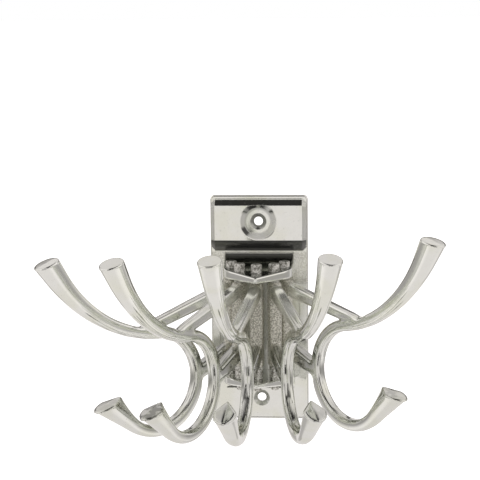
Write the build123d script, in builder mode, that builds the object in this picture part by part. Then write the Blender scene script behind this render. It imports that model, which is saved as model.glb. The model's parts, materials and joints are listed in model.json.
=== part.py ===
from build123d import *
import os
from math import acos, atan2, cos, degrees, radians, sin, tan

# A wall bracket with five swivelling double hooks, all cast, each hook turning on its own pin.
# Millimetres. The wall is the plane Y = 0, the hooks reach out to -Y, and +Z is up.
# The origin is on the wall, half-way between the two screw holes.

# Back plate
plate_width = 57.6
plate_top = 68.4
plate_foot = -66.6
plate_thickness = 4.0
plate_corner = 2.5
plate_edge_round = 1.0
panel_top = 18.0
panel_bottom = -41.0
panel_border = 5.0
panel_recess = 1.5
panel_corner = 4.0

# Cap, the hollow block at the head of the plate
cap_width = 56.0
cap_height = 31.0
cap_depth = 11.0
cap_set_down = 2.0
cap_bevel = 3.2
cap_under_round = 7.5
cap_side_bevel = 2.2
cap_wall = 4.0

# Screw holes, one through the cap and one through the foot of the plate
screw_hole = 5.2
screw_head = 9.6
screw_spacing = 107.5
lower_hole_aside = 0.8
dish_width = 22.0
dish_floor_width = 16.6
dish_depth = 0.8

# Shelves, round with a blunt nose, level on the side that faces the hooks
hub_offset = 14.6
shelf_radius = 20.6
shelf_nose = 28.4
nose_round = 2.0
shelf_draft = 6.0
upper_shelf_under = 22.0
upper_shelf_edge = 3.6
upper_shelf_rim_round = 1.2
upper_shelf_root_round = 8.0
lower_shelf_top = -36.6
lower_shelf_edge = 2.4
lower_shelf_rim_round = 0.8
lower_shelf_root_round = 5.0

# Hinge pins, dropped in from above, with a thinner spigot at the foot
pin_circle_radius = 15.8
pin_pitch = 39.3
pin_diameter = 6.4
pin_proud = 9.7
spigot_diameter = 4.8
spigot_length = 6.6
pin_end_bevel = 0.5
running_clearance = 0.08
shoulder_clearance = 0.1

# Hook arms: where each one points, and how far each casting hangs below its nominal height
arm_yaw = (-45.3, -26.8, -7.0, 16.3, 41.7)
arm_droop = (3.5, 1.1, -0.6, -0.5, -2.1)

# Column, the upright bar of each arm, bored for the pin
column_depth = 8.4
column_thickness = 7.8
column_edge_round = 2.2
column_foot_round = 1.6
column_gap = 0.8
column_foot = -29.0

# Lower hook, a round bend that ends in a flared prong
bend_reach = 57.5
bend_level = -28.3
bend_radius = 27.9
bend_start = 99.0
bend_end = 314.0
flare_start = 286.0
bar_width = 7.8
bar_thickness = 7.4
inner_flat = 0.7
lower_prong_length = 22.5
lower_tip_width = 19.4
lower_tip_thickness = 13.0
lower_tip_slope = (16.0, 18.0, 28.0, 25.0, 16.0)
lower_width_power = 2.0
lower_thickness_power = 1.2

# Upper prong, swept out and up from the head of the bend to its flared tip
sweep_radius = 97.5
sweep_turn = 48.0
waist_width = 7.6
waist_thickness = 7.0
sweep_flat_shift = 13.0
sweep_flat_heading = 20.0
upper_end_length = 12.4
upper_tip_width = 15.0
upper_tip_thickness = 13.0
upper_tip_slope = 17.0
flare_power = 2.8
flare_stations = 6

# Struts, which tie the bar back to the column
strut_thickness = 7.6
strut_edge_round = 1.4
strut_end_round = 2.2
upper_strut_drop = 0.7
upper_strut_root = 7.6
upper_strut_end = 5.8
upper_strut_heading = 18.0
lower_strut_level = -18.2
lower_strut_root = 9.0
lower_strut_end = 8.0
lower_strut_heading = 183.0

hub = (0, -hub_offset)
panel_floor = plate_thickness - panel_recess
cap_top = plate_top - cap_set_down
cap_bottom = cap_top - cap_height
pin_top = upper_shelf_under + pin_proud
pin_seat = lower_shelf_top + shoulder_clearance
pin_count = len(arm_yaw)
first_pin = 270 - pin_pitch * (pin_count - 1) / 2


def pin_places(level):
    """The pins' places on their circle round the hub, at one height."""
    fan = pin_pitch * (pin_count - 1)
    ring = PolarLocations(pin_circle_radius, pin_count, first_pin, fan, rotate=False, endpoint=True)
    return [Location((0, -hub_offset, level)) * place for place in ring.locations]


def shelf(level, outward, hole, shelf_edge, rim_round, root_round):
    """One shelf: level on its inner side, tapering to the rim on the other, outward +1 up or -1 down."""
    reach = hub_offset + shelf_nose
    rise = (reach - panel_floor) * tan(radians(shelf_draft))
    rim = level + outward * shelf_edge
    root_front = plate_thickness + root_round
    slope = Vector(cos(radians(shelf_draft)), outward * sin(radians(shelf_draft)))
    root_foot = Vector(-root_front, rim + outward * (reach - root_front) * tan(radians(shelf_draft)))
    root_head = Vector(-plate_thickness, root_foot.Y + outward * root_round)
    nose_half_angle = degrees(acos(shelf_radius / shelf_nose))
    round_side = 90 - nose_half_angle
    with BuildPart() as piece:
        with BuildSketch(Plane.YZ):
            with BuildLine():
                Polyline(root_foot, (-reach, rim), (-reach, level), (-panel_floor, level),
                         (-panel_floor, root_head.Y), root_head)
                TangentArc(root_foot, root_head, tangent=slope)
            make_face()
        extrude(amount=shelf_radius, both=True)
        with BuildSketch(Plane.XY.offset(level)) as plan:
            with BuildLine():
                left = CenterArc(hub, shelf_radius, 180, round_side)
                right = CenterArc(hub, shelf_radius, 270 + nose_half_angle, round_side)
                Polyline(left @ 1, (0, -reach), right @ 0)
                Polyline(left @ 0, (-shelf_radius, -panel_floor), (shelf_radius, -panel_floor), right @ 1)
            make_face()
            fillet(plan.vertices().sort_by(Axis.Y)[0], nose_round)
        extrude(amount=shelf_edge + rise + root_round, both=True, mode=Mode.INTERSECT)
        rim_edges = [edge for edge in piece.edges().filter_by(Axis.Z, reverse=True)
                     if edge.bounding_box().min.Y < -root_front]
        fillet(rim_edges, rim_round)
        with Locations(*pin_places(level)):
            Cylinder(hole / 2, 2 * (shelf_edge + rise), mode=Mode.SUBTRACT)
    return piece.part


# Wall bracket: plate, cap and both shelves in one casting
upper_shelf = shelf(upper_shelf_under, 1, pin_diameter + 2 * running_clearance,
                    upper_shelf_edge, upper_shelf_rim_round, upper_shelf_root_round)
lower_shelf = shelf(lower_shelf_top, -1, spigot_diameter + 2 * running_clearance,
                    lower_shelf_edge, lower_shelf_rim_round, lower_shelf_root_round)

with BuildPart() as wall_bracket:
    with BuildSketch(Plane.XZ):
        with Locations((0, (plate_top + plate_foot) / 2)):
            RectangleRounded(plate_width, plate_top - plate_foot, plate_corner)
    extrude(amount=plate_thickness)
    fillet(wall_bracket.faces().sort_by(Axis.Y)[0].edges(), plate_edge_round)
    # Sunk panel between the raised side borders
    with BuildSketch(Plane.XZ.offset(plate_thickness)):
        with Locations((0, (panel_top + panel_bottom) / 2)):
            RectangleRounded(plate_width - 2 * panel_border, panel_top - panel_bottom, panel_corner)
    extrude(amount=-panel_recess, mode=Mode.SUBTRACT)
    # Cap, bevelled along its top and sides and rolled under along its foot
    with BuildSketch(Plane.YZ) as cap_side:
        with BuildLine():
            Polyline((-panel_floor, cap_bottom), (-cap_depth, cap_bottom),
                     (-cap_depth, cap_top - cap_bevel), (cap_bevel - cap_depth, cap_top),
                     (-panel_floor, cap_top), close=True)
        make_face()
        fillet(cap_side.vertices().group_by(Axis.X)[0].sort_by(Axis.Y)[0], cap_under_round)
    cap_block = extrude(amount=cap_width / 2, both=True, mode=Mode.PRIVATE)
    cap_ends = cap_block.faces().sort_by(Axis.X)
    cap_rims = [edge for end in (cap_ends[0], cap_ends[-1]) for edge in end.edges()
                if edge.bounding_box().min.Y < -plate_thickness - cap_side_bevel]
    add(cap_block.chamfer(cap_side_bevel, None, cap_rims))
    # Hollow behind the cap
    with BuildSketch(Plane.XZ):
        with Locations((0, (cap_top + cap_bottom) / 2)):
            RectangleRounded(cap_width - 2 * cap_wall, cap_height - 2 * cap_wall, cap_wall)
    extrude(amount=cap_depth - cap_wall, mode=Mode.SUBTRACT)
    # Shallow dish with a sloping wall and countersunk hole in the cap, countersunk hole in the foot
    with Locations(Plane.XZ.offset(cap_depth - dish_depth) * Location((0, screw_spacing / 2))):
        Cone(dish_floor_width / 2, dish_width / 2, dish_depth, mode=Mode.SUBTRACT,
             align=(Align.CENTER, Align.CENTER, Align.MIN))
        CounterSinkHole(screw_hole / 2, screw_head / 2, depth=cap_depth, counter_sink_angle=90)
    with Locations(Plane.XZ.offset(plate_thickness) * Location((lower_hole_aside, -screw_spacing / 2))):
        CounterSinkHole(screw_hole / 2, screw_head / 2, depth=2 * plate_thickness, counter_sink_angle=90)
    add(upper_shelf)
    add(lower_shelf)

wall_bracket.part.label = "wall_bracket"


def hinge_pin(place):
    """One pin: a plain rod from its seat on the lower shelf, and the spigot that drops through it."""
    with BuildPart() as pin:
        with Locations((place.X, place.Y, pin_seat)):
            Cylinder(pin_diameter / 2, pin_top - pin_seat, align=(Align.CENTER, Align.CENTER, Align.MIN))
            Cylinder(spigot_diameter / 2, spigot_length, align=(Align.CENTER, Align.CENTER, Align.MAX))
        ends = pin.faces().filter_by(Axis.Z).sort_by(Axis.Z)
        chamfer([ends[0].edge(), ends[-1].edge()], pin_end_bevel)
    return pin.part


def along(angle, length=1.0):
    """A step of that length in the arm's plane, the angle counted up from straight out."""
    return Vector(length * cos(radians(angle)), length * sin(radians(angle)))


def hook_arm(place, yaw, droop, tip_slope):
    """One casting: the bent bar with its two flared prongs, the struts and the bored column."""
    out = Vector(sin(radians(yaw)), -cos(radians(yaw)), 0)
    level = Vector(0, 0, 1)
    side = out.cross(level)
    arm_plane = Plane(place, x_dir=out * cos(radians(droop)) - level * sin(radians(droop)), z_dir=side)

    def across(spot, heading):
        """The plane across the bar where it passes a spot of the arm's plane on that heading."""
        right = along(heading - 90)
        run = along(heading)
        x_dir = arm_plane.x_dir * right.X + arm_plane.y_dir * right.Y
        z_dir = arm_plane.x_dir * run.X + arm_plane.y_dir * run.Y
        return Plane(arm_plane.from_local_coords(spot), x_dir=x_dir, z_dir=z_dir)

    def drum_at(spot):
        """The plane of a round tool that stands square to the arm's plane at a spot."""
        return Plane(arm_plane.from_local_coords(spot), x_dir=arm_plane.x_dir, z_dir=side)

    bend_middle = Vector(bend_reach, bend_level)
    upper_heading = bend_start - 90
    lower_heading = bend_end - 270
    upper_root = bend_middle + along(bend_start, bend_radius)
    curved_length = radians(bend_end - flare_start) * bend_radius
    lower_length = curved_length + lower_prong_length
    sweep_middle = upper_root + along(upper_heading + 90, sweep_radius)
    end_heading = upper_heading + sweep_turn
    sweep_length = radians(sweep_turn) * sweep_radius
    upper_length = sweep_length + upper_end_length
    column_top = upper_shelf_under - column_gap

    with BuildPart() as arm:
        # Round bend of the lower hook
        with BuildSketch(across(upper_root, upper_heading)):
            Ellipse(bar_width / 2, bar_thickness / 2)
        pivot = arm_plane.from_local_coords(bend_middle)
        revolve(axis=Axis(pivot, side), revolution_arc=flare_start - bend_start)
        # Lower prong, flaring from the foot of the bend to a face ground by hand
        for station in range(flare_stations + 1):
            share = station / flare_stations
            swept = min(share * lower_length, curved_length)
            straight = share * lower_length - swept
            angle = flare_start + degrees(swept / bend_radius)
            spot = bend_middle + along(angle, bend_radius) + along(lower_heading, straight)
            lean = (90 - tip_slope - lower_heading) * straight / lower_prong_length
            width = bar_width + (lower_tip_width - bar_width) * share**lower_width_power
            flare = share**lower_thickness_power
            thickness = bar_thickness + (lower_tip_thickness - bar_thickness) * flare
            with BuildSketch(across(spot, angle - 270 + lean)):
                Ellipse(width / 2, thickness / 2)
        loft()
        # Upper prong, slim along its run and flaring towards the tip
        for station in range(flare_stations + 1):
            share = station / flare_stations
            flare = share**flare_power
            swept = min(share * upper_length, sweep_length)
            heading = upper_heading + degrees(swept / sweep_radius)
            past_sweep = along(end_heading, share * upper_length - swept)
            spot = sweep_middle + along(heading - 90, sweep_radius) + past_sweep
            face = 90 - upper_tip_slope if station == flare_stations else heading
            width = waist_width + (upper_tip_width - waist_width) * flare
            thickness = waist_thickness + (upper_tip_thickness - waist_thickness) * flare
            if station == 0:
                width, thickness = bar_width, bar_thickness
            with BuildSketch(across(spot, face)):
                Ellipse(width / 2, thickness / 2)
        loft()
        # Inner sides of the bend and of the sweep, ground flat across; the sweep's flat runs out before the tip
        with Locations(drum_at(bend_middle)):
            Cylinder(bend_radius - bar_width / 2 + inner_flat, 4 * bar_thickness, mode=Mode.SUBTRACT)
        flat_radius = sweep_radius - sweep_flat_shift - waist_width / 2 + inner_flat
        with Locations(drum_at(sweep_middle + along(sweep_flat_heading - 90, sweep_flat_shift))):
            Cylinder(flat_radius, 4 * bar_thickness, mode=Mode.SUBTRACT)
        # Struts from the column, each dying into the bar
        upper_start = Vector(0, column_top - upper_strut_root / 2 - upper_strut_drop)
        upper_stop = sweep_middle + along(upper_strut_heading - 90, sweep_radius)
        lower_start = Vector(0, lower_strut_level)
        lower_stop = bend_middle + along(lower_strut_heading, bend_radius)
        for start, stop, root, end in ((upper_start, upper_stop, upper_strut_root, upper_strut_end),
                                       (lower_start, lower_stop, lower_strut_root, lower_strut_end)):
            heading = degrees(atan2(stop.Y - start.Y, stop.X - start.X))
            with BuildSketch(across(start, heading)):
                RectangleRounded(root, strut_thickness, strut_edge_round)
            with BuildSketch(across(stop, heading)):
                RectangleRounded(end, waist_thickness, strut_end_round)
            loft()
        # Column, upright whatever the casting's lean, rounded at its foot and bored for the pin
        with BuildSketch(Plane((place.X, place.Y, column_foot), x_dir=out, z_dir=level)):
            RectangleRounded(column_depth, column_thickness, column_edge_round)
        column = extrude(amount=column_top - column_foot, mode=Mode.PRIVATE)
        foot_edges = column.faces().sort_by(Axis.Z)[0].edges()
        add(column.fillet(column_foot_round, foot_edges))
        with Locations((place.X, place.Y, column_foot)):
            Cylinder(pin_diameter / 2, 2 * (column_top - column_foot), mode=Mode.SUBTRACT)
    return arm.part


os.makedirs("parts", exist_ok=True)
export_step(wall_bracket.part, "parts/wall_bracket.step")

arm_facts = zip(pin_places(0), arm_yaw, arm_droop, lower_tip_slope)
for number, (spot, yaw, droop, tip_slope) in enumerate(arm_facts, start=1):
    pin = hinge_pin(spot.position)
    pin.label = f"hinge_pin_{number}"
    export_step(pin, f"parts/hinge_pin_{number}.step")
    arm = hook_arm(spot.position, yaw, droop, tip_slope)
    arm.label = f"swivel_hook_{number}"
    export_step(arm, f"parts/swivel_hook_{number}.step")
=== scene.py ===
import json

import bpy
import numpy as np
from mathutils import Matrix, Vector


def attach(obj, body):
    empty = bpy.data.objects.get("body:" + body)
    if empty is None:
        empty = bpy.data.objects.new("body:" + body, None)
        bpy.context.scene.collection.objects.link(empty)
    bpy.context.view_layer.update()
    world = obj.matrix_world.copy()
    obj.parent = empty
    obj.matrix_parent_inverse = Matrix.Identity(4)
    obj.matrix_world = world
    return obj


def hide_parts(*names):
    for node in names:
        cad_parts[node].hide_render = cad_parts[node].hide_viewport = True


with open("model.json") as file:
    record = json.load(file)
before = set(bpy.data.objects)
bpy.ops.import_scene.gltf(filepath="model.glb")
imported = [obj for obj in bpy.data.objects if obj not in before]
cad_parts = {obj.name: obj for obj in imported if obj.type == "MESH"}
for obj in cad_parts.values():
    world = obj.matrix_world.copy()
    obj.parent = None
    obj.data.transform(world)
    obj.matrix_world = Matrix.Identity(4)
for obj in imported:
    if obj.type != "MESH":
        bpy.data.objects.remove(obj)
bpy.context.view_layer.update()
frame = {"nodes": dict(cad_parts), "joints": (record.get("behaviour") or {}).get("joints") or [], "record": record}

# Wall bracket
# One light-alloy casting, screwed to the wall: back plate, hollow bevelled cap and two shelves for the pins.
# Its faces are polished by hand; painted shade and dark reflection lie under the cap, on the upper shelf, in the
# screw holes and in a crescent round the upper dish.
MM = 0.001

# Places and sizes are in mm: y is 0 on the wall and negative in front of it, z is the height.
plate_front = -4.0
panel_levels = (-40.5, 17.5)
shelf_levels = (17.5, 33.5)
shelf_under, shelf_rim = 22.0, 25.6
shelf_reach, shelf_radius, shelf_slope = 43.0, 20.6, 0.1051
cap_foot, cap_hollow_foot = 35.4, 39.4
cap_edge_levels = (36.0, 42.4)
cap_inside, cap_flank = -7.0, 25.8
countersink_radius = 5.0
dish_inner, dish_outer, dish_fade = 7.7, 10.0, 20.0
crescent_line_tilt = 0.6
screw_holes = {mount["name"]: mount["pos_m"] for mount in frame["record"]["mounts"]}
polished = (0.895, 0.915, 0.87)
patch_loss = (0.030, 0.030, 0.075)
mould_skin = (0.37, 0.365, 0.30)
mould_glint = (0.57, 0.57, 0.54)
corner_ease = 0.6 * MM


class Value:
    """One output of a material's nodes; arithmetic on it adds Math nodes."""

    def __init__(self, tree, socket):
        self.tree = tree
        self.socket = socket

    def node(self, kind, inputs, output=0, **settings):
        """Adds a node of that kind with those settings, sets or links its inputs, and gives one output back."""
        made = self.tree.nodes.new(kind)
        for name, value in settings.items():
            setattr(made, name, value)
        for name, value in inputs.items():
            if isinstance(value, Value):
                self.tree.links.new(value.socket, made.inputs[name])
            else:
                made.inputs[name].default_value = value
        return Value(self.tree, made.outputs[output])

    def maths(self, operation, left, right):
        return self.node("ShaderNodeMath", {0: left, 1: right}, operation=operation)

    def __add__(self, other):
        return self.maths("ADD", self, other)

    __radd__ = __add__

    def __sub__(self, other):
        return self.maths("SUBTRACT", self, other)

    def __rsub__(self, other):
        return self.maths("SUBTRACT", other, self)

    def __mul__(self, other):
        return self.maths("MULTIPLY", self, other)

    __rmul__ = __mul__

    def __abs__(self):
        return self.maths("ABSOLUTE", self, 0.0)

    def ramp(self, low, high):
        """0 below low, 1 above high, and smooth between them."""
        inputs = {"Value": self, "From Min": low, "From Max": high}
        return self.node("ShaderNodeMapRange", inputs, interpolation_type="SMOOTHSTEP")

    def fall(self, low, high):
        """1 below low, 0 above high, and smooth between them."""
        return 1.0 - self.ramp(low, high)

    def within(self, low, high, fade):
        """1 between low and high, falling to 0 over the fade outside them."""
        return self.ramp(low - fade, low) * self.fall(high, high + fade)

    def noise(self, scale, detail):
        """Noise read at these coordinates, so many waves to one unit of them."""
        return self.node("ShaderNodeTexNoise", {"Vector": self, "Scale": scale, "Detail": detail})

    def split(self, unit=1.0):
        """The three coordinates by themselves, counted in that unit."""
        return [self.node("ShaderNodeSeparateXYZ", {"Vector": self}, name) * (1 / unit) for name in "XYZ"]

    def feed(self, target):
        self.tree.links.new(self.socket, target)


def blank_material(name):
    """A new material: itself, its shader's inputs and its object coordinates."""
    material = bpy.data.materials.new(name)
    material.use_nodes = True
    tree = material.node_tree
    where = Value(tree, tree.nodes.new("ShaderNodeTexCoord").outputs["Object"])
    return material, tree.nodes["Principled BSDF"].inputs, where


def colour(red, green, blue):
    """One colour from three values."""
    return red.node("ShaderNodeCombineColor", {0: red, 1: green, 2: blue})


def casting(name, wear):
    """Polished light alloy with wipe marks, pits and faint warm patches.

    wear gives four shares for each place: raw, where the skin is mottled and dull as it left the mould, dark,
    where painted shade, painted dark reflection or dark file lines darken the colour, satin, where the wheel only
    brushed it, and filed, the height of file marks.
    """
    material, shader, where = blank_material(name)
    raw, dark, satin, filed = wear(where)
    patches = where.noise(70.0, 3.0).ramp(0.40, 0.68)
    wipes = where.noise(260.0, 5.0)
    grain = where.noise(1300.0, 3.0)
    pits = where.noise(1500.0, 2.0).ramp(0.70, 0.78)
    mottle = grain.ramp(0.34, 0.66)
    # dark darkens the colour: painted shade and reflection on bracket and arms, and the arms' dark file lines.
    keep = (1.0 - 0.45 * pits) * (1.0 - 0.05 * wipes) * (1.0 - 0.68 * dark) * (1.0 - raw)
    shades = zip(polished, patch_loss, mould_skin, mould_glint)
    mixed = [(bright - loss * patches) * keep + (skin + glint * mottle) * raw
             for bright, loss, skin, glint in shades]
    colour(*mixed).feed(shader["Base Color"])
    (1.0 - 0.45 * satin - 0.25 * raw).feed(shader["Metallic"])
    (0.05 + 0.06 * wipes + 0.30 * raw + 0.2 * pits + 0.22 * satin).feed(shader["Roughness"])
    relief = 0.05 * wipes + 0.02 * grain - 0.12 * pits + raw * grain * 2.4 + 0.22 * filed
    softened = where.node("ShaderNodeBevel", {"Radius": corner_ease}, "Normal", samples=6)
    lie = {"Height": relief, "Strength": 0.35, "Distance": 0.6 * MM, "Normal": softened}
    where.node("ShaderNodeBump", lie, "Normal").feed(shader["Normal"])
    return material


def squared(value):
    return value * value


def inside(square, near, far):
    """1 where that squared distance is nearer than near, 0 beyond far, and smooth between them."""
    return square.fall(near**2, far**2)


def bracket_wear(where):
    """Raw beside and under the upper shelf; painted shade and dark reflection under the cap, on that shelf, in the
    holes and in a crescent round the dish.

    Satin on the sunk panel's height, under the shelf and the cap, on the cap's flanks and in the dish below its
    painted crescent. Each share is a product of masks on the place in mm, and a hole's mask is on the squared
    distance.
    """
    x, y, z = where.split(MM)
    aside = abs(x)
    on_plate = y.within(plate_front - 0.5, plate_front + 2.1, 0.5)
    proud = y.fall(plate_front - 0.6, plate_front - 0.3)
    panel = z.within(*panel_levels, 0.5) * on_plate
    beside_shelf = z.within(*shelf_levels, 3.0) * on_plate
    under_shelf = z.within(shelf_under - 0.2, shelf_under + 0.3, 0.2) * proud
    above_shelf = z - shelf_rim - shelf_slope * (y + shelf_reach)
    on_shelf = above_shelf.ramp(-0.5, -0.2) * aside.fall(shelf_radius - 0.3, shelf_radius)
    on_shelf = on_shelf * z.fall(cap_foot - 1.2, cap_foot - 0.6) * y.fall(plate_front + 0.2, plate_front + 1.0)
    hollow = y.ramp(cap_inside - 0.8, cap_inside - 0.3) * z.ramp(cap_hollow_foot - 0.9, cap_hollow_foot - 0.3)
    under_cap = z.within(*cap_edge_levels, 0.4) * proud * (1.0 - hollow)
    flank_foot = cap_edge_levels[1] + 0.1
    flank = aside.ramp(cap_flank, cap_flank + 0.6) * z.ramp(flank_foot, flank_foot + 1.0) * proud

    from_upper, from_lower = [squared(x - screw_holes[name][0] / MM) + squared(z - screw_holes[name][2] / MM)
                              for name in ("upper_screw_hole", "lower_screw_hole")]
    countersink = (countersink_radius - 0.5, countersink_radius)
    cap_front = y.fall(cap_inside - 0.5, cap_inside - 0.1)
    upper_hole = inside(from_upper, *countersink) * cap_front
    lower_hole = inside(from_lower, *countersink) * y.fall(-0.6, -0.3)
    dish = from_upper.within(dish_inner**2, dish_outer**2, dish_fade) * cap_front
    above_hole = z - screw_holes["upper_screw_hole"][2] / MM
    # Painted reflection: above this tilted line the dish is darkened into a crescent; below it the dish is left
    # pale and satin.
    painted_crescent_side = (above_hole - crescent_line_tilt * x).ramp(-7.0, -3.0)

    raw = 0.4 * beside_shelf + 0.5 * under_shelf
    # Painted shade and reflection: the colour is darkened in a band under the cap, on the upper shelf's top and in
    # both countersinks.
    dark = 1.25 * under_cap + on_shelf * (1.0 - under_cap) + 0.75 * upper_hole + 0.45 * lower_hole
    # A painted dark reflection in a crescent round the upper dish.
    dark = dark + 0.6 * dish * painted_crescent_side
    satin = 0.4 * (upper_hole + lower_hole) + 0.5 * panel + 0.6 * under_shelf + 0.6 * under_cap
    satin = satin + 2.0 * dish * (1.0 - painted_crescent_side) + 0.8 * flank
    return raw, dark, satin, 0.0


def dress(obj, material):
    """Gives the piece that material alone."""
    obj.data.materials.clear()
    obj.data.materials.append(material)


dress(frame["nodes"]["wall_bracket"], casting("bracket metal", bracket_wear))

# Hinge pins
# Five light-alloy rods, sand-cast and never polished, so their skin is grainy and glints.
# Each is pressed into the column of one arm and turns in the two shelves.
rod_hollow = (0.28, 0.28, 0.24)
rod_glint = (0.66, 0.66, 0.65)


def rough_rod():
    """Unpolished alloy: coarse grain, olive in the hollows, with bright grains on top."""
    material, shader, where = blank_material("rough pin metal")
    grain = where.noise(1100.0, 3.0)
    lumps = where.noise(400.0, 3.0)
    raised = (grain * 0.6 + lumps * 0.4).ramp(0.38, 0.60)
    mixed = [hollow + glint * raised for hollow, glint in zip(rod_hollow, rod_glint)]
    colour(*mixed).feed(shader["Base Color"])
    shader["Metallic"].default_value = 1.0
    (0.52 - 0.24 * raised).feed(shader["Roughness"])
    lie = {"Height": grain + lumps, "Strength": 0.8, "Distance": 0.9 * MM}
    where.node("ShaderNodeBump", lie, "Normal").feed(shader["Normal"])
    return material


rod_metal = rough_rod()
for number in range(1, len(frame["joints"]) + 1):
    dress(frame["nodes"][f"hinge_pin_{number}"], rod_metal)

# Hook arms
# Five alike light-alloy castings, filed and polished by hand; only the column about the pin is left rough.
# One bar runs from the lower tip round the bend and out to the upper tip; two struts tie it to the column.
arm_yaw = np.radians((-45.3, -26.8, -7.0, 16.3, 41.7))
arm_droop = np.radians((3.5, 1.1, -0.6, -0.5, -2.1))

# Places are in the arm's own plane, out from the pin and up, in mm; slopes, headings and turns in degrees.
bar_start = np.array((93.08, -32.74))
start_heading, straight_down = 224, 270
lower_prong_length, upper_end_length = 22.5, 12.4
bend_middle, bend_radius, bend_turn = np.array((57.5, -28.3)), 27.9, 215
bend_ground_radius, bend_ground_round = 23.8, 1.6
sweep_radius, sweep_turn = 97.5, 48
flat_middle, flat_radius, flat_round = np.array((42.35, 83.4)), 81.4, 0.4
flat_start, flat_run_out = 0.08, 8
bar_width, bar_thickness = 7.8, 7.4
waist_width, waist_thickness, waist_start = 7.6, 7.0, 1 / 6
bar_squareness = 0.2
file_marks, mark_wave = (0.014, 0.008), 19.0
bar_rows, bar_sides = 460, 96

lower_tip_width, lower_tip_thickness, lower_flare = 19.4, 13.0, 36.1
lower_width_power, lower_thickness_power, lower_point = 2, 1.2, 0.95
lower_tip_slope = (16.0, 18.0, 28.0, 25.0, 16.0)
lower_tip_ridge = (0.05, 0.10, 0.11, 0.13, 0.05)
upper_tip_width, upper_tip_thickness, upper_power = 15.0, 13.0, 2.8
upper_tip_lean, upper_lean_start, upper_tip_ridge = 16, 0.78, 0.01
lower_rim, upper_rim, tip_crown = 1.2, 0.9, 0.05

upper_root, upper_stop = np.array((3.0, 16.1)), np.array((68.0, 2.9))
upper_strut_high, upper_strut_thick = (7.6, 5.8), (7.6, 5.6)
lower_root, lower_stop = np.array((3.0, -19.4)), np.array((29.6, -29.8))
lower_strut_high, lower_strut_thick = (9.0, 8.0), (7.6, 7.0)
strut_edge, strut_rows = 1.6, 60
column_foot, column_head = -29.0, 21.2
column_depth, column_thickness, column_edge = 8.4, 7.8, 2.2
foot_rise, foot_drawn_in = (0.0, 0.4, 1.2, 3.0), (1.6, 0.8, 0.2, 0.0)
bore_radius, column_rows = 2.9, 30
section_turn = (np.arange(32) + 0.5) / 32 * 2 * np.pi

fuse_size = 0.4
eased_corners = np.array((upper_stop, (58, -2), lower_stop, (4, 16), (4, -19)))
eased_core, eased_reach = 4.0, 9.0
light_rounds, corner_rounds = 4, 40

# Where the finish changes, in mm: each pair is where a change begins and where it is complete.
hub_offset = 14.6
# recess_reach and recess_levels, and low_levels, bound painted shade near the column and low down.
rough_reach, recess_reach, root_reach = (20.0, 22.8), (34.0, 46.0), (60.0, 75.0)
root_levels, root_half_width = (1.0, 3.0), (30.0, 36.0)
recess_levels, low_levels = (-18.0, -10.0), (-30.0, -4.0)
face_depth, face_reach = (-0.3, 2.0), (12.5, 13.0)
# How dark the painted reflection streaks on each arm's lower tip face are.
lower_tip_reflection_dark = (0.25, 0.75, 0.15, 0.15, 0.35)
filed_levels, filed_half_width, filed_from_tip = (-60.0, 6.0), (2.5, 3.3), (18.0, 34.0)
file_drawn_out = 0.06


def smooth_step(value, low, high):
    """0 below low, 1 above high, a cubic between them."""
    share = np.clip((value - low) / (high - low), 0, 1)
    return share * share * (3 - 2 * share)


def lesser(one, other, soft):
    """The lesser of two, rounded where they cross: half their sum less half the root of gap and soft squared."""
    return (one + other - np.sqrt((one - other) ** 2 + soft**2)) / 2


def signed_power(value, power):
    """The size raised to the power, with the sign kept."""
    return np.sign(value) * np.abs(value) ** power


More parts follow.
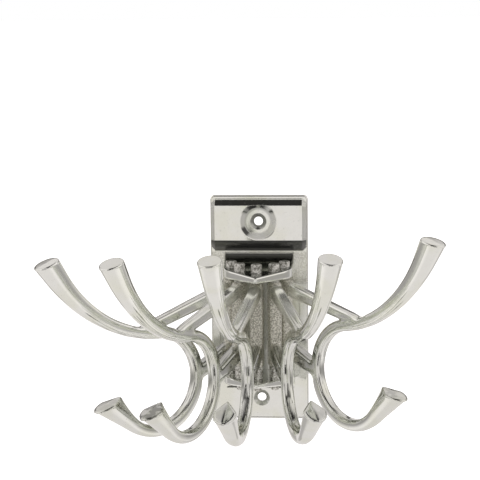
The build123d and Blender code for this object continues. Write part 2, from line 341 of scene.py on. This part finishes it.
def bar_rings(tip_slope):
    """Rings round the bent bar, in the arm's plane and across it, in mm.

    The heading turns evenly along each stretch, straight, bend, sweep and straight, and the middle line
    adds up the steps. Each ring is an ellipse across that line, a little squared between the tips, pointed
    inward near the lower tip, ground off inside the bend and flat along the sweep's inner side. It swells
    towards both tips, where it leans into the plane of the tip's face. File marks are shallow waves round it.
    """
    bend_length, sweep_length = np.radians(bend_turn) * bend_radius, np.radians(sweep_turn) * sweep_radius
    stretch = np.cumsum((0, lower_prong_length, bend_length, sweep_length, upper_end_length))
    sweep_heading = start_heading - bend_turn
    end_heading = sweep_heading + sweep_turn
    headings = (start_heading, start_heading, sweep_heading, end_heading, end_heading)
    run = np.linspace(0, stretch[-1], bar_rows)
    heading = np.radians(np.interp(run, stretch, headings))
    middle = (heading[1:] + heading[:-1]) / 2
    steps = np.diff(run)[:, None] * np.stack((np.cos(middle), np.sin(middle)), axis=1)
    spots = bar_start + np.vstack(((0, 0), np.cumsum(steps, axis=0)))

    straight = np.clip(1 - run / lower_prong_length, 0, 1)
    lower = np.clip(1 - run / lower_flare, 0, 1)[:, None]
    upper = np.clip((run - stretch[2]) / (stretch[4] - stretch[2]), 0, 1)[:, None]
    waist = np.clip(upper / waist_start, 0, 1)
    width = bar_width + (lower_tip_width - bar_width) * lower**lower_width_power
    width = width + (waist_width - bar_width) * waist + (upper_tip_width - waist_width) * upper**upper_power
    thickness = bar_thickness + (lower_tip_thickness - bar_thickness) * lower**lower_thickness_power
    thickness = thickness + (waist_thickness - bar_thickness) * waist
    thickness = thickness + (upper_tip_thickness - waist_thickness) * upper**upper_power

    around = np.linspace(0, 2 * np.pi, bar_sides, endpoint=False)[None, :]
    between_tips = (1 - lower**3) * (1 - upper**3)
    square = 1 - bar_squareness * between_tips
    w = width / 2 * signed_power(np.cos(around), square)
    t = thickness / 2 * signed_power(np.sin(around), square)
    inward = np.clip(1 - np.abs(around - np.pi) / (np.pi / 2), 0, 1)
    pointed = lower_point * lower**lower_thickness_power * (inward > 0)
    w = (1 - pointed) * w - pointed * width / 2 * inward
    t = (1 - pointed) * t + pointed * thickness / 2 * (1 - inward) * np.sign(np.sin(around))
    drift = np.sin(run / mark_wave)[:, None]
    broad = file_marks[0] * (np.cos(7 * around + 0.6 * drift) - 1)
    fine = file_marks[1] * (np.cos(5 * around - 0.5 * drift + 1) - 1)
    marked = 1 + (broad + fine) * between_tips
    w, t = w * marked, t * marked

    from_bend = np.linalg.norm(spots - bend_middle, axis=1)[:, None]
    w = -lesser(-w, from_bend - bend_ground_radius, bend_ground_round)
    from_flat = np.linalg.norm(spots - flat_middle, axis=1)[:, None]
    off_flat = flat_run_out * (1 - smooth_step(upper, 0.0, flat_start))
    w = lesser(w, from_flat - flat_radius + off_flat, flat_round)
    lower_lean = (straight_down - start_heading - tip_slope) * straight
    upper_lean = upper_tip_lean * smooth_step(upper[:, 0], upper_lean_start, 1.0)
    return spots, heading + np.radians(lower_lean + upper_lean), w, t


def place_rings(spots, facing, w, t):
    """Sets each ring at its spot, across the way it faces: w to the left in the arm's plane, t out of it."""
    across = -w * np.sin(facing)[:, None]
    up = w * np.cos(facing)[:, None]
    return np.stack((spots[:, 0, None] + across, spots[:, 1, None] + up, t), axis=2)


def tip_face(spot, facing, w, t, outward, rim, ridge):
    """Rings that close a bar's end: a quarter-round rim, then a face drawn in to a point.

    The face falls away from its long middle line by ridge for each mm aside, so that it has two flats, and
    along that line by ridge times the crown for each mm squared, so that the flats are a little domed.
    """
    turn = np.radians((0, 30, 60, 90))
    draw = np.array((1, 1, 1, 1, 0.9, 0.75, 0.5, 0.25, 0.02))[:, None]
    on_face = len(draw) - len(turn)
    inset = np.concatenate((rim * (1 - np.cos(turn)), np.full(on_face, rim)))[:, None]
    scale = (1 - inset / np.hypot(w, t)) * draw
    w, t = scale * w, scale * t
    rim_rise = np.concatenate((rim * np.sin(turn) - rim, np.zeros(on_face)))[:, None]
    rise = rim_rise - ridge * (np.abs(t) + tip_crown * w**2)
    rings = place_rings(np.repeat(spot[None, :], len(draw), axis=0), np.full(len(draw), facing), w, t)
    return rings + (outward * rise)[:, :, None] * np.array((np.cos(facing), np.sin(facing), 0))


def skin(rows, around, first, looped):
    """Quads between neighbouring rings, numbered on from first; the ends are joined, or closed by a face each."""
    index = first + np.arange(rows * around).reshape(rows, around)
    ends = [] if looped else [index[0][::-1].tolist(), index[-1].tolist()]
    if looped:
        index = np.vstack((index, index[:1]))
    near, far = index[:-1], index[1:]
    quads = np.stack((near, np.roll(near, -1, 1), np.roll(far, -1, 1), far), axis=2)
    return quads.reshape(-1, 4).tolist() + ends


def rounded_ring(high, thick, edge):
    """A rounded rectangle: each corner's quarter circle stands in from the corner by its radius."""
    cos, sin = np.cos(section_turn), np.sin(section_turn)
    return np.sign(cos) * (high / 2 - edge) + edge * cos, np.sign(sin) * (thick / 2 - edge) + edge * sin


def strut_rings(start, stop, high, thick):
    """A flat-sided bar from start to stop; its rounded section tapers evenly from the first size to the last."""
    share = np.linspace(0, 1, strut_rows)[:, None]
    spots = start + (stop - start) * share
    facing = np.full(strut_rows, np.arctan2(stop[1] - start[1], stop[0] - start[0]))
    first = rounded_ring(high[0], thick[0], strut_edge)
    last = rounded_ring(high[1], thick[1], strut_edge)
    w = first[0] + (last[0] - first[0]) * share
    t = first[1] + (last[1] - first[1]) * share
    return place_rings(spots, facing, w, t)


def column_rings():
    """The upright column: a rounded rectangle drawn in at its foot, up to its head, then down the round bore."""
    shaft = np.linspace(foot_rise[-1], column_head - column_foot, column_rows)
    rise = np.concatenate((foot_rise[:-1], shaft))[:, None]
    w, t = rounded_ring(column_depth, column_thickness, column_edge)
    scale = 1 - np.interp(rise, foot_rise, foot_drawn_in) / np.hypot(w, t)
    outer = np.stack(np.broadcast_arrays(scale * w, scale * t, column_foot + rise), axis=2)
    bore = bore_radius * np.cos(section_turn), bore_radius * np.sin(section_turn)
    down = np.linspace(column_head, column_foot, column_rows)[:, None]
    inner = np.stack(np.broadcast_arrays(*bore, down), axis=2)
    return np.concatenate((outer, inner))


def fused_casting(name, shells):
    """One skin round all the shells of rings, found again on a grid of fine cells."""
    points, faces, first = [], [], 0
    for rings, looped in shells:
        rows, around = rings.shape[:2]
        points.append(rings.reshape(-1, 3))
        faces += skin(rows, around, first, looped)
        first += rows * around
    mesh = bpy.data.meshes.new(name)
    mesh.from_pydata(np.concatenate(points) * MM, [], faces)
    arm = bpy.data.objects.new(name, mesh)
    bpy.context.scene.collection.objects.link(arm)
    fuse = arm.modifiers.new("fused", "REMESH")
    fuse.mode = "VOXEL"
    fuse.voxel_size = fuse_size * MM
    fused = bpy.data.meshes.new_from_object(arm.evaluated_get(bpy.context.evaluated_depsgraph_get()))
    arm.modifiers.clear()
    arm.data = fused
    return arm


def eased(points, edges, share, rounds):
    """Each round moves every point its share of the way to the middle of its neighbours."""
    total = len(points)
    count = np.bincount(edges.ravel(), minlength=total)[:, None]
    for _ in range(rounds):
        sums = [np.bincount(edges[:, 0], points[edges[:, 1], k], total)
                + np.bincount(edges[:, 1], points[edges[:, 0], k], total) for k in range(3)]
        points = points + share * (np.stack(sums, axis=1) / count - points)
    return points


def ease_casting(mesh, pin, arm_axes):
    """Softens the whole skin lightly, and again near the corners where bar, struts and column meet."""
    points = np.empty(3 * len(mesh.vertices), np.float32)
    mesh.vertices.foreach_get("co", points)
    points = points.reshape(-1, 3).astype(float)
    edges = np.empty(2 * len(mesh.edges), np.int32)
    mesh.edges.foreach_get("vertices", edges)
    edges = edges.reshape(-1, 2)
    in_plane = ((points / MM - pin) @ arm_axes.T)[:, None, :2]
    from_corner = np.min(np.linalg.norm(in_plane - eased_corners, axis=2), axis=1)
    near = (1 - smooth_step(from_corner, eased_core, eased_reach))[:, None]
    points = eased(points, edges, 0.5, light_rounds)
    points = eased(points, edges, 0.5 * near, corner_rounds)
    mesh.vertices.foreach_set("co", points.astype(np.float32).ravel())
    mesh.polygons.foreach_set("use_smooth", np.ones(len(mesh.polygons), bool))
    mesh.update()


def cast_arm(name, pin, yaw, droop, tip_slope, ridge):
    """One arm in its place: bar, struts and column fused, with the corners between them eased.

    Gives the arm, the middle of its lower tip's face, and that face's axes: outward, in the arm's plane, aside.
    """
    out = np.array((np.sin(yaw), -np.cos(yaw), 0))
    side = np.array((-np.cos(yaw), -np.sin(yaw), 0))
    ahead = out * np.cos(droop) - np.array((0, 0, np.sin(droop)))
    arm_axes = np.stack((ahead, np.cross(side, ahead), side))
    column_axes = np.stack((out, side, (0, 0, 1)))
    spots, facing, w, t = bar_rings(tip_slope)
    inside_rims = slice(3, -2)
    body = place_rings(spots[inside_rims], facing[inside_rims], w[inside_rims], t[inside_rims])
    low_face = tip_face(spots[0], facing[0], w[0], t[0], -1, lower_rim, ridge)
    high_face = tip_face(spots[-1], facing[-1], w[-1], t[-1], 1, upper_rim, upper_tip_ridge)
    bar = np.concatenate((low_face[::-1], body, high_face))
    upper_strut = strut_rings(upper_root, upper_stop, upper_strut_high, upper_strut_thick)
    lower_strut = strut_rings(lower_root, lower_stop, lower_strut_high, lower_strut_thick)
    shells = [(rings @ arm_axes + pin, False) for rings in (bar, upper_strut, lower_strut)]
    shells.append((column_rings() @ column_axes + pin, True))
    arm = fused_casting(name, shells)
    ease_casting(arm.data, pin, arm_axes)
    cos, sin = np.cos(facing[0]), np.sin(facing[0])
    tip_axes = np.array(((-cos, -sin, 0), (-sin, cos, 0), (0, 0, 1))) @ arm_axes
    return arm, np.append(spots[0], 0) @ arm_axes + pin, tip_axes


def measure(where, direction, spot):
    """How far each place lies from the spot along that direction, in mm."""
    inputs = {0: where, 1: direction / MM}
    along = where.node("ShaderNodeVectorMath", inputs, "Value", operation="DOT_PRODUCT")
    return along - float(np.dot(direction, spot))


def arm_wear(where, tip, tip_axes, ridge, tip_reflection_dark):
    """Raw on the column, satin on the struts' roots, painted shade low down and in the recess, and painted dark
    reflection streaks on the lower tip's face.

    The file marks run along the bar: noise that changes fast across it and slowly along it. The deepest keep
    a dark line. Each share is a product of masks on the place in mm, with hub the squared distance from the
    middle of the pins' circle.
    """
    x, y, z = where.split(MM)
    hub = squared(x) + squared(y + hub_offset)
    raw = inside(hub, *rough_reach)
    roots = z.ramp(*root_levels) * inside(hub, *root_reach) * abs(x).fall(*root_half_width)
    recess = inside(hub, *recess_reach) * z.fall(*recess_levels)
    low = z.fall(*low_levels)

    rise, w, t = [measure(where, direction, tip) for direction in tip_axes]
    crown = rise + ridge * (abs(t) + tip_crown * squared(w))
    face = crown.within(*face_depth, 0.4) * inside(squared(w) + squared(t), *face_reach)
    # Painted reflection: dark streaks on the lower tip's face, as much as each arm's share.
    streaks = where.noise(240.0, 2.0).ramp(0.42, 0.58)
    tip_reflection = tip_reflection_dark * face * (0.25 + 0.75 * streaks)

    from_tip = squared(rise) + squared(w) + squared(t)
    shank = z.within(*filed_levels, 18.0) * (1.0 - inside(from_tip, *filed_from_tip))
    shank = shank * abs(t).fall(*filed_half_width)
    stretched = {"X": t, "Y": file_drawn_out * x, "Z": file_drawn_out * z}
    lengthwise = where.node("ShaderNodeCombineXYZ", stretched)
    filed = lengthwise.noise(1.5, 2.0) * shank
    lines = filed.ramp(0.55, 0.63)
    # Painted shade low down and in the recess about the column, painted reflection on the lower tip's face, and
    # the file marks' dark lines.
    dark = 0.4 * recess + tip_reflection + 0.12 * low + 0.08 * shank + 0.6 * lines
    return raw, dark, 0.35 * roots, filed


own_lie = zip(arm_yaw, arm_droop, lower_tip_slope, lower_tip_ridge, lower_tip_reflection_dark)
for number, (yaw, droop, tip_slope, ridge, tip_reflection_dark) in enumerate(own_lie, 1):
    pin = np.array(frame["joints"][number - 1]["pos_m"]) / MM
    arm, tip, tip_axes = cast_arm(f"cast_arm_{number}", pin, yaw, droop, tip_slope, ridge)
    dress(arm, casting(f"arm metal {number}", lambda where: arm_wear(where, tip, tip_axes, ridge, tip_reflection_dark)))
    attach(arm, f"hook_{number}")
    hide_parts(f"swivel_hook_{number}")

# Studio
# A pale floor well below the hook, in a room that the camera sees as plain white.
# The metal mirrors the room's pale walls, with dark strips overhead, underfoot, at the sides and behind.
floor_level, floor_size = -0.40, 60.0
floor_grey, floor_glow = 0.9, 0.85
room_tint = (1.0, 0.949, 0.94)
bpy.ops.mesh.primitive_plane_add(size=floor_size, location=(0, 0, floor_level))
floor = bpy.context.object
floor.visible_glossy = False
floor_paint, floor_shader, floor_where = blank_material("pale floor")
floor_shader["Base Color"].default_value = (floor_grey, floor_grey, floor_grey, 1)
floor_shader["Roughness"].default_value = 0.9
seen_by = ("Is Camera Ray", "Is Glossy Ray", "Is Transmission Ray")
seen = sum(floor_where.node("ShaderNodeLightPath", {}, ray) for ray in seen_by)
floor_shader["Emission Strength"].default_value = floor_glow
colour(seen, seen, seen).feed(floor_shader["Emission Color"])
dress(floor, floor_paint)

world = bpy.data.worlds.new("studio")
bpy.context.scene.world = world
world.use_nodes = True
room = world.node_tree
toward = Value(room, room.nodes.new("ShaderNodeTexCoord").outputs["Generated"])
# x, y and z are the direction looked in, of length 1: to the right, into the wall and up.
x, y, z = toward.split()
aside = abs(x)
ahead = y.fall(-0.48, -0.34)
behind = y.ramp(0.25, 0.55)
narrow = aside.fall(0.20, 0.38)
ceiling_strip = z.ramp(0.50, 0.62) * narrow * (1.0 - behind)
floor_strip = z.within(-0.64, -0.36, 0.10) * narrow * ahead
side_strips = aside.within(0.30, 0.48, 0.07) * z.within(0.10, 0.60, 0.10) * ahead
ledge = z.within(0.30, 0.45, 0.03) * y.ramp(0.25, 0.45)
overhead = z.ramp(0.52, 0.58) * behind
gaps = aside.within(0.46, 0.60, 0.05) * y.ramp(0.45, 0.65)
far_sides = abs(z + 0.12).fall(0.04, 0.45) * aside.ramp(0.55, 0.85)
walls = 0.81 + 0.19 * aside.ramp(0.45, 0.9)
shadows = ((0.62, far_sides), (0.10, overhead), (0.40, gaps), (0.85, side_strips), (0.85, ledge))
for depth, shadow in shadows:
    walls = walls * (1.0 - depth * shadow)
lit = walls * (1.0 - ceiling_strip) * (1.0 - floor_strip) + 0.03 * ceiling_strip + 0.05 * floor_strip
to_camera = toward.node("ShaderNodeLightPath", {}, "Is Camera Ray")
shown = [to_camera + (1.0 - to_camera) * lit * tint for tint in room_tint]
colour(*shown).feed(room.nodes["Background"].inputs["Color"])

# Camera
# It stands where the photograph was taken from, a little to the right and above the hook.
camera_place = Vector((0.0630, -0.9797, 0.1896))
camera_forward = Vector((-0.0751, 0.9859, -0.1493)).normalized()
camera_right = Vector((0.9972, 0.0744, -0.0105)).normalized()
camera_up = camera_right.cross(camera_forward).normalized()
camera_right = camera_forward.cross(camera_up)
camera_data = bpy.data.cameras.new("camera")
camera_data.sensor_width = 36.0
camera_data.lens = 125.4
camera = bpy.data.objects.new("camera", camera_data)
bpy.context.scene.collection.objects.link(camera)
bpy.context.scene.camera = camera
turn = Matrix((camera_right, camera_up, -camera_forward)).transposed()
camera.matrix_world = Matrix.Translation(camera_place) @ turn.to_4x4()

bpy.context.scene.view_settings.view_transform = "Standard"
